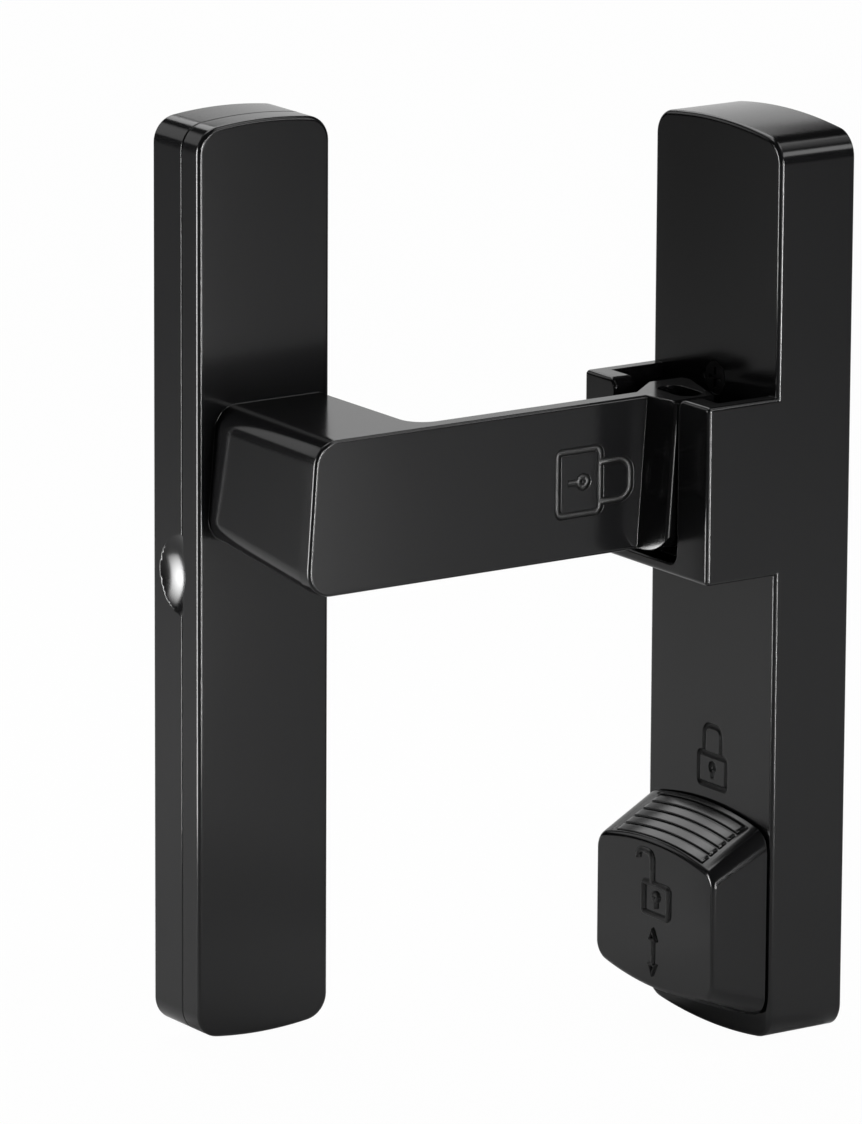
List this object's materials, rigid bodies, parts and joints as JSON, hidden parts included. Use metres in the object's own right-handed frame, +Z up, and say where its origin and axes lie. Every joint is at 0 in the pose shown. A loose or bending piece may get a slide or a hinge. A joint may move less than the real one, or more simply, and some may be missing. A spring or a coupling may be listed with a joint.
{
  "type": "barn door latch",
  "caption": "Two-part latch for a sliding door: an arm with a hollow hook head runs into an open receiver, and a ribbed thumb slider lifts a foot into the head.",
  "frame": {"origin": "centre of the jamb half's mounting face, at mid height of its housing", "axes": "+X out of the latch into the jamb, +Y away from the room, +Z up"},
  "size_m": [0.0678, 0.0428, 0.1095],
  "materials": {
    "black_finish": "satin black",
    "plate_paint": "matt black",
    "steel": "plain zinc plated",
    "nylon": "natural nylon"
  },
  "bodies": {
    "jamb_half": {"jamb_plate": "plate_paint", "catch_housing": "black_finish", "housing_screw_upper": "steel", "housing_screw_lower": "steel", "detent_spring": "steel", "spring_rivet": "steel"},
    "lock_slider": {"slider_knob": "black_finish", "slider_carriage": "nylon", "knob_screws": "steel", "lock_bar": "steel", "bar_rivets": "steel"},
    "door_half": {"door_base": "black_finish", "cover_arm": "black_finish", "clip_upper": "steel", "clip_lower": "steel", "clip_rivets": "steel"}
  },
  "joints": [
    {"name": "lock_lift", "type": "slide", "parent": "jamb_half", "child": "lock_slider", "axis": [0, 0, 1], "range_m": [0, 0.01]},
    {"name": "door_slide", "type": "slide", "parent": "jamb_half", "child": "door_half", "axis": [-1, 0, 0], "range_m": [0, 0.06]}
  ]
}
